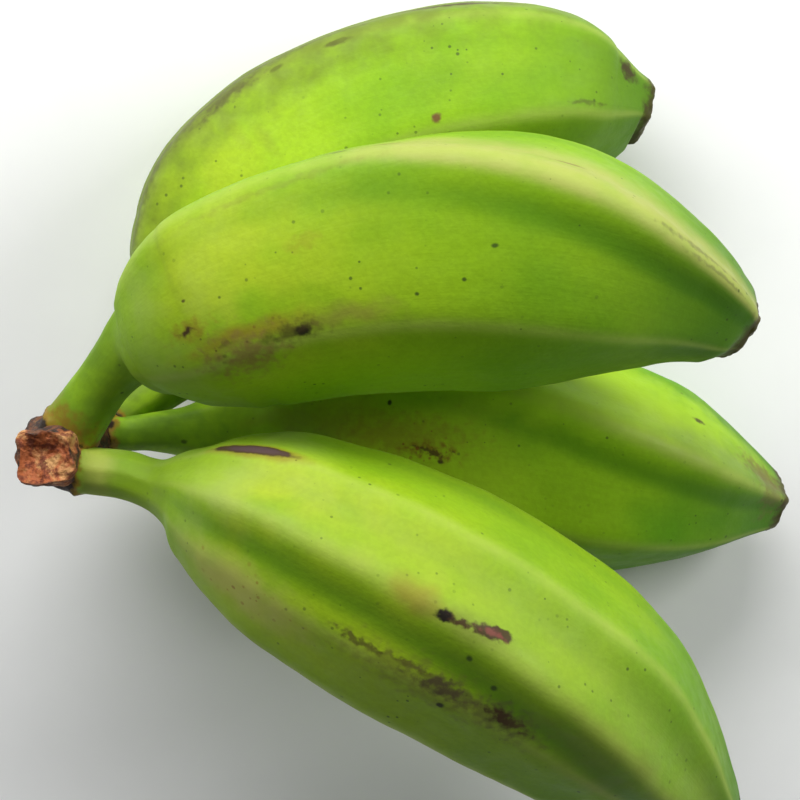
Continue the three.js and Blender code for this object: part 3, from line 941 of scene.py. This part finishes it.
NEAR_BELOW_MARKS = [
    # painted light: the sunny face lightens the upper face that the finger above keeps in shadow
    ("sunny face", 110.0, 56.0, 56.0, 30.0, LIT_GREEN, 0.7, 0.25, "coarse", 0.6),
    ("dark spot", 148.8, 52.0, 1.2, 2.6, DARK_BROWN, 0.85, 0.5, "fine", 0.5),
    ("scuff halo", 80.0, 5.0, 13.0, 9.0, ORANGE_BROWN, 0.45, 0.9, "fine", 0.9),
    ("scuff", 84.0, 1.0, 10.0, 9.0, ORANGE_RED, 0.9, 0.9, "dots", 0.7),
    ("scuff core", 87.0, -2.0, 4.5, 3.5, ORANGE_RED, 0.6, 1.4, "fine", 0.6),
    ("scuff flecks", 88.0, -3.0, 2.5, 2.0, DARK_BROWN, 0.7, 1.6, "fine", 0.5),
    ("faint brown", 56.0, 12.0, 13.0, 9.0, ORANGE_BROWN, 0.3, 0.9, "coarse", 0.9),
    ("tip blush", 169.0, 36.0, 6.0, 16.0, RED_BROWN, 0.55, 0.9, "fine", 0.8),
    ("tip blush", 172.0, 10.0, 3.5, 22.0, SCAR_TAN, 0.5, 0.9, "fine", 0.8),
    ("dot", 76.7, 22.0, 0.6, 1.2, BLACK_SPOT, 0.9, 0.3, "fine", 0.5),
    ("dot", 90.0, -8.0, 0.6, 1.2, DARK_BROWN, 0.9, 0.3, "fine", 0.5),
    ("dot", 24.2, -22.0, 0.7, 5.0, BLACK_SPOT, 0.7, 0.3, "fine", 0.5),
]

peels = {
    "finger_near_above": peel_material(
        "peel near above", bright=(0.275, 0.45, 0.009, 1.0), deep=(0.14, 0.315, 0.006, 1.0),
        stalk=(0.21, 0.34, 0.022, 1.0), shoulder=42.0, length=195.0, ring=NEAR_ABOVE["ring"],
        marks=NEAR_ABOVE_MARKS, band=0.2),
    "finger_far_above": peel_material(
        "peel far above", bright=(0.27, 0.46, 0.009, 1.0), deep=(0.14, 0.32, 0.006, 1.0),
        stalk=(0.15, 0.28, 0.014, 1.0), shoulder=42.0, length=183.0, ring=FAR_ABOVE["ring"],
        marks=FAR_ABOVE_MARKS, band=0.85),
    "finger_far_below": peel_material(
        "peel far below", bright=(0.35, 0.57, 0.011, 1.0), deep=(0.18, 0.38, 0.007, 1.0),
        stalk=(0.15, 0.24, 0.018, 1.0), shoulder=38.0, length=178.0, ring=FAR_BELOW["ring"],
        marks=FAR_BELOW_MARKS, band=0.3),
    # painted light, in part: this finger's bright colour is lighter than the others' to make up for
    # light that the fingers above keep off it
    "finger_near_below": peel_material(
        "peel near below", bright=(0.39, 0.63, 0.014, 1.0), deep=(0.12, 0.33, 0.006, 1.0),
        stalk=(0.13, 0.25, 0.014, 1.0), shoulder=44.0, length=177.0, ring=NEAR_BELOW["ring"],
        marks=NEAR_BELOW_MARKS, band=0.3),
}
for name, finger in fingers.items():
    finger.data.materials.append(peels[name])
    print(name, "painted")

# %% [markdown]
# ## The crown's colours
# The cut shows orange flesh that has dried in patches of tan and red brown. The sides are dark
# cork. The value kept on each corner tells the cut from the sides, and noise frays the line.

# %% Crown material
CUT_ORANGE = (0.42, 0.11, 0.028, 1.0)
CUT_TAN = (0.66, 0.36, 0.13, 1.0)
CUT_RED = (0.15, 0.030, 0.012, 1.0)
CORK_DARK = (0.030, 0.012, 0.007, 1.0)
CORK_BROWN = (0.17, 0.062, 0.024, 1.0)
CORK_RELIEF = 0.0006                # metres
TORN_CORK_HEIGHTS = (0.052, 0.064)  # metres above the floor between which the cork thins out
THIN_CORK, CORK_FRAY = 0.55, 2.6
BLOTCH_SCALE, FLECK_SCALE, CORK_GRAIN_SCALE = 150.0, 420.0, 1400.0


def crown_material():
    material = bpy.data.materials.new("crown cork")
    material.use_nodes = True
    tree = material.node_tree
    shader = tree.nodes["Principled BSDF"]
    here = object_place(tree)
    blotches = noise_value(tree, here, BLOTCH_SCALE, detail=4.0, distortion=0.6)
    flecks = noise_value(tree, here, FLECK_SCALE, detail=5.0, roughness=0.65)
    cut = painted(tree, ramped(tree, blotches, 0.48, 0.66), CUT_ORANGE, CUT_TAN)
    cut = painted(tree, ramped(tree, flecks, 0.47, 0.62, to_high=0.9), cut, CUT_RED)
    cork = painted(tree, ramped(tree, flecks, 0.42, 0.62), CORK_DARK, CORK_BROWN)
    thin = ramped(tree, parts_of(tree, here)["Z"], *TORN_CORK_HEIGHTS, to_high=THIN_CORK)
    bare = sum_of(tree, "ADD", sum_of(tree, "ADD", surface_value(tree, "cut"), thin),
                  product(tree, sum_of(tree, "SUBTRACT", blotches, 0.5), CORK_FRAY))
    tree.links.new(painted(tree, ramped(tree, bare, 0.35, 0.75), cork, cut),
                   shader.inputs["Base Color"])
    tree.links.new(ramped(tree, flecks, 0.3, 0.7, 0.55, 0.85), shader.inputs["Roughness"])
    height = sum_of(tree, "ADD", flecks, noise_value(tree, here, CORK_GRAIN_SCALE, detail=4.0))
    relief = add_node(tree, "ShaderNodeBump", {"Height": height, "Distance": CORK_RELIEF,
                                               "Strength": 0.8})
    tree.links.new(relief.outputs["Normal"], shader.inputs["Normal"])
    return material


crown.data.materials.append(crown_material())
print("crown painted")

# %% [markdown]
# ## Attaching the pieces
# Every piece moves with the one body, and the imported solid is hidden.

# %% Ride, replace and finish
for piece in [*fingers.values(), crown]:
    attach(piece, "root")
    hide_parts("plantain_hand")
